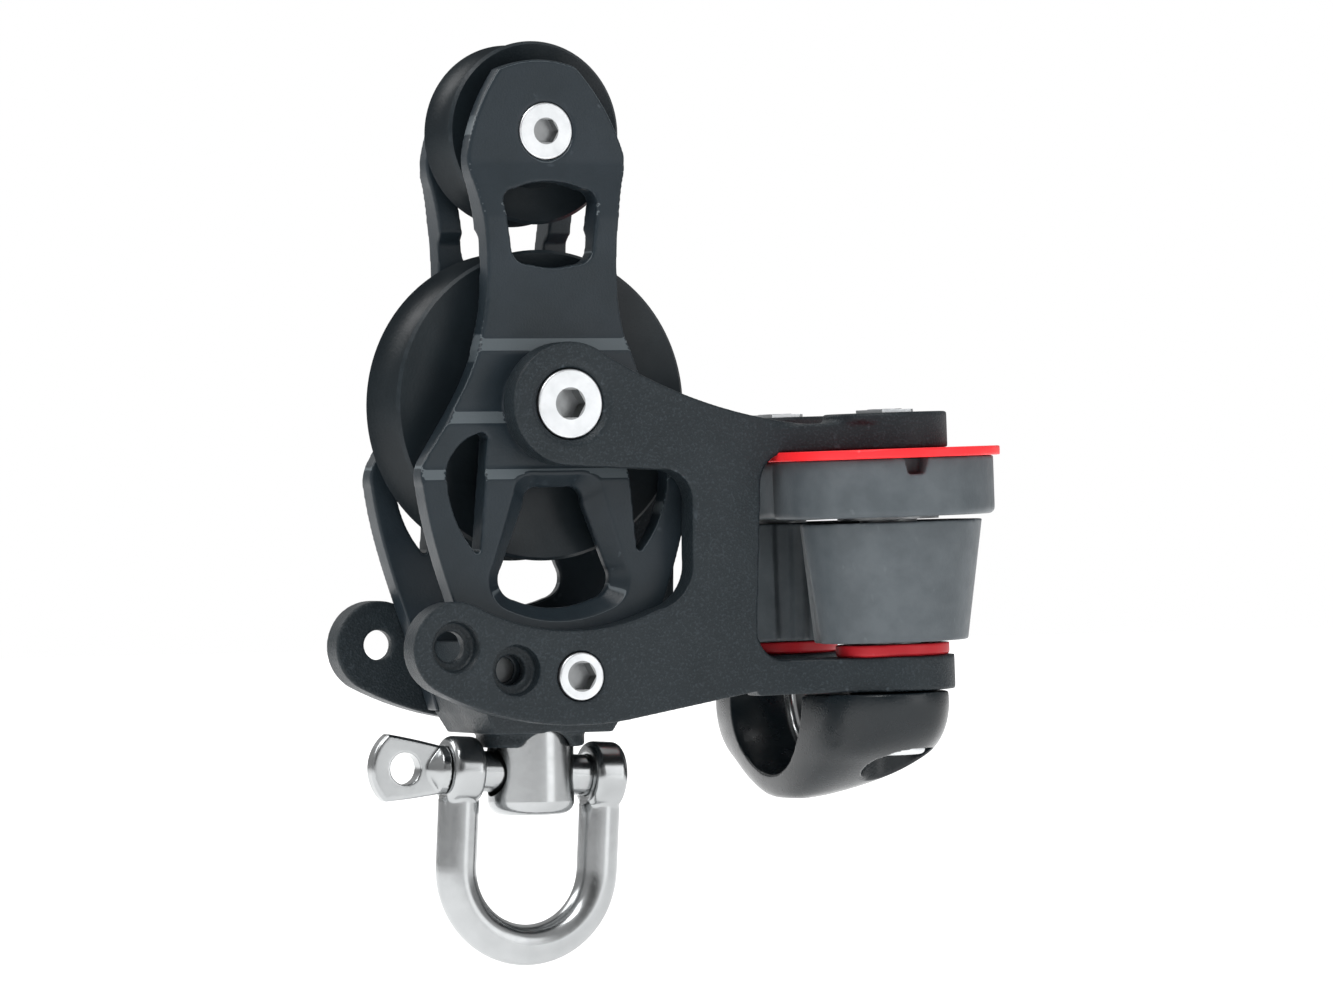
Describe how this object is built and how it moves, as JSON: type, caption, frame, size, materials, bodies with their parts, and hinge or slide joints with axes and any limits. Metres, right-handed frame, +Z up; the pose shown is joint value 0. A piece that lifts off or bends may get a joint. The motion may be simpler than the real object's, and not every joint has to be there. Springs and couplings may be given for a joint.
{
  "type": "swivel fiddle block with cam cleat",
  "caption": "Fiddle block with a large and a small sheave in line, a swivelling bow shackle below and a side arm carrying a cam cleat and fairlead.",
  "frame": {"origin": "centre of the lower, larger sheave, on the main axle's axis", "axes": "+Z up through the smaller sheave, +X towards the cam cleat, Y along the axles with the front at -Y"},
  "size_m": [0.0908, 0.0712, 0.1342],
  "materials": {
    "cheek_resin": "satin glass-filled resin",
    "grained_resin": "fine-grained matt resin",
    "sheave_resin": "satin resin",
    "grey_resin": "mottled satin resin",
    "red_resin": "satin resin",
    "dark_red_resin": "satin resin",
    "gloss_black_resin": "polished resin",
    "ball_resin": "smooth acetal",
    "polished_steel": "polished stainless steel",
    "screw_steel": "satin stainless steel"
  },
  "bodies": {
    "block": {"front_cheek": "cheek_resin", "rear_cheek": "cheek_resin", "head_block": "grained_resin", "head_plug": "grained_resin", "head_rivets": "screw_steel", "swivel_washer": "screw_steel", "main_axle": "screw_steel", "main_axle_screws": "screw_steel", "main_sleeve": "screw_steel", "upper_axle": "screw_steel", "upper_axle_screws": "screw_steel", "small_sleeve": "screw_steel", "lock_screws": "screw_steel", "front_arm": "grained_resin", "rear_arm": "grained_resin", "cleat_red_plate": "red_resin", "cleat_base": "grey_resin", "cam_posts": "screw_steel", "cam_collars": "dark_red_resin", "cam_springs": "screw_steel", "front_cam_balls": "ball_resin", "rear_cam_balls": "ball_resin", "cleat_bolts": "screw_steel", "cleat_nuts": "screw_steel", "fairlead": "gloss_black_resin", "fairlead_liner": "polished_steel"},
    "main_sheave": {"main_sheave": "sheave_resin", "main_side_balls": "ball_resin"},
    "small_sheave": {"small_sheave": "sheave_resin", "small_side_balls": "ball_resin"},
    "front_cam": {"front_cam": "grey_resin"},
    "rear_cam": {"rear_cam": "grey_resin"},
    "swivel": {"swivel_post": "polished_steel"},
    "shackle": {"shackle_bow": "polished_steel"},
    "shackle_pin": {"shackle_pin": "polished_steel"}
  },
  "joints": [
    {"name": "main_sheave_spin", "type": "hinge", "parent": "block", "child": "main_sheave", "pos_m": [0, 0, 0], "axis": [0, 1, 0], "continuous": true},
    {"name": "small_sheave_spin", "type": "hinge", "parent": "block", "child": "small_sheave", "pos_m": [0, 0, 0.0395], "axis": [0, 1, 0], "continuous": true},
    {"name": "front_cam_turn", "type": "hinge", "parent": "block", "child": "front_cam", "pos_m": [0.04936, -0.019, -0.02632], "axis": [-0.0209, 0, 0.9998], "range_deg": [-30, 0], "stiffness_Nm_per_rad": 0.08, "springref_deg": 20.05},
    {"name": "rear_cam_turn", "type": "hinge", "parent": "block", "child": "rear_cam", "pos_m": [0.04936, 0.019, -0.02632], "axis": [-0.0209, 0, 0.9998], "range_deg": [0, 30], "stiffness_Nm_per_rad": 0.08, "springref_deg": -20.05},
    {"name": "swivel_turn", "type": "hinge", "parent": "block", "child": "swivel", "pos_m": [0, 0, -0.0534], "axis": [0, 0, 1], "continuous": true},
    {"name": "shackle_swing", "type": "hinge", "parent": "swivel", "child": "shackle", "pos_m": [0, 0, -0.0534], "axis": [0.9981, 0, -0.061], "range_deg": [-95, 95]},
    {"name": "pin_withdraw", "type": "slide", "parent": "shackle", "child": "shackle_pin", "axis": [-0.9981, 0, 0.061], "range_m": [0, 0.013]}
  ]
}
